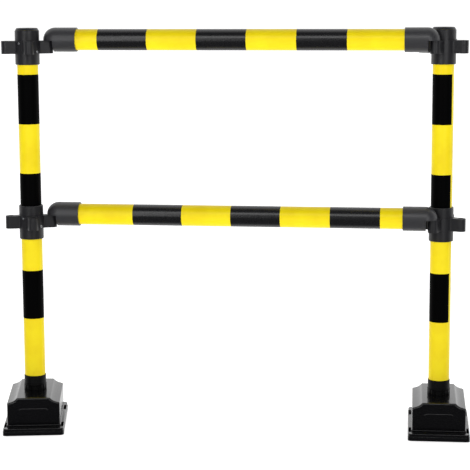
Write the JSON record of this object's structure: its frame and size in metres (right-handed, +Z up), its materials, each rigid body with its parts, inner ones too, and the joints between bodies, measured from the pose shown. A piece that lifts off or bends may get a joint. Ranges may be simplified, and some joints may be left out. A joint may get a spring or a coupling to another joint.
{
  "type": "post-and-rail safety barrier",
  "caption": "Free-standing two-rail barrier: banded yellow posts on weighted black bases, joined by banded rails hooked on lugged couplers.",
  "frame": {"origin": "on the left post's axis at floor level, in the underside of the left base", "axes": "+X from the left post to the right post, +Y to the back, +Z up along the posts"},
  "size_m": [1.1675, 0.2686, 0.9804],
  "materials": {
    "yellow_coat": "semi-gloss yellow powder coat on tube",
    "post_film": "smooth black film, wrapped with a butt gap",
    "rail_film": "glossy black film with a soft highlight",
    "coupler_plastic": "satin black moulded nylon, fine grain",
    "rail_end_plastic": "satin black moulded nylon, fine grain",
    "sleeve_plastic": "satin black plastic",
    "ring_plastic": "semi-gloss black plastic with grip flutes",
    "base_plastic": "high-gloss black moulded shell",
    "rubber_mat": "ribbed rubber",
    "ballast_iron": "rough casting",
    "zinc_steel": "zinc plated"
  },
  "bodies": {
    "left_post": {"left_post_tube": "yellow_coat", "left_post_bands": "post_film", "left_post_cap": "coupler_plastic", "left_post_spigot": "zinc_steel", "left_foot_sleeve": "sleeve_plastic"},
    "left_base": {"left_base_shell": "base_plastic", "left_base_plate": "zinc_steel", "left_base_mat": "rubber_mat", "left_ballast": "ballast_iron"},
    "left_lock": {"left_lock_ring": "ring_plastic"},
    "left_upper_clamp": {"left_upper_coupler": "coupler_plastic", "left_upper_set_screws": "zinc_steel"},
    "left_lower_clamp": {"left_lower_coupler": "coupler_plastic", "left_lower_set_screws": "zinc_steel"},
    "upper_rail": {"upper_rail_tube": "yellow_coat", "upper_rail_bands": "rail_film", "upper_rail_left_end": "rail_end_plastic", "upper_rail_right_end": "rail_end_plastic", "upper_rail_left_pin": "zinc_steel", "upper_rail_right_pin": "zinc_steel"},
    "lower_rail": {"lower_rail_tube": "yellow_coat", "lower_rail_bands": "rail_film", "lower_rail_left_end": "rail_end_plastic", "lower_rail_right_end": "rail_end_plastic", "lower_rail_left_pin": "zinc_steel", "lower_rail_right_pin": "zinc_steel"},
    "right_upper_clamp": {"right_upper_coupler": "coupler_plastic", "right_upper_set_screws": "zinc_steel"},
    "right_lower_clamp": {"right_lower_coupler": "coupler_plastic", "right_lower_set_screws": "zinc_steel"},
    "right_post": {"right_post_tube": "yellow_coat", "right_post_bands": "post_film", "right_post_cap": "coupler_plastic", "right_post_spigot": "zinc_steel", "right_foot_sleeve": "sleeve_plastic"},
    "right_base": {"right_base_shell": "base_plastic", "right_base_plate": "zinc_steel", "right_base_mat": "rubber_mat", "right_ballast": "ballast_iron"},
    "right_lock": {"right_lock_ring": "ring_plastic"}
  },
  "joints": [
    {"name": "left_base_turn", "type": "hinge", "parent": "left_post", "child": "left_base", "pos_m": [0, 0, 0.088], "axis": [0, 0, 1], "continuous": true},
    {"name": "left_lock_turn", "type": "hinge", "parent": "left_base", "child": "left_lock", "pos_m": [0, 0, 0.095], "axis": [0, 0, 1], "range_deg": [0, 270]},
    {"name": "left_upper_slide", "type": "slide", "parent": "left_post", "child": "left_upper_clamp", "axis": [0, 0, 1], "range_m": [-0.16, 0]},
    {"name": "left_lower_slide", "type": "slide", "parent": "left_post", "child": "left_lower_clamp", "axis": [0, 0, 1], "range_m": [-0.33, 0.17]},
    {"name": "upper_rail_swing", "type": "hinge", "parent": "left_upper_clamp", "child": "upper_rail", "pos_m": [0.04866, 0.0135, 0.9512], "axis": [0, 0, 1], "range_deg": [-50.9, 89.1]},
    {"name": "lower_rail_swing", "type": "hinge", "parent": "left_lower_clamp", "child": "lower_rail", "pos_m": [0.04866, 0.0135, 0.5262], "axis": [0, 0, 1], "range_deg": [-50.9, 89.1]},
    {"name": "right_post_swing", "type": "hinge", "parent": "upper_rail", "child": "right_upper_clamp", "pos_m": [0.97786, -0.04539, 0.9512], "axis": [0, 0, 1], "range_deg": [-137.6, 2.4]},
    {"name": "right_upper_slide", "type": "slide", "parent": "right_upper_clamp", "child": "right_post", "axis": [0, 0, 1], "range_m": [0, 0.16]},
    {"name": "right_lower_slide", "type": "slide", "parent": "right_post", "child": "right_lower_clamp", "axis": [0, 0, 1], "range_m": [-0.33, 0.17]},
    {"name": "right_base_turn", "type": "hinge", "parent": "right_post", "child": "right_base", "pos_m": [1, 0, 0.088], "axis": [0, 0, 1], "continuous": true},
    {"name": "right_lock_turn", "type": "hinge", "parent": "right_base", "child": "right_lock", "pos_m": [1, 0, 0.095], "axis": [0, 0, 1], "range_deg": [0, 270]}
  ],
  "couplings": [
    {"joint": "right_upper_slide", "follows": "left_upper_slide", "ratio": -1},
    {"joint": "right_lower_slide", "follows": "left_lower_slide", "ratio": 1},
    {"joint": "lower_rail_swing", "follows": "upper_rail_swing", "ratio": 1}
  ]
}
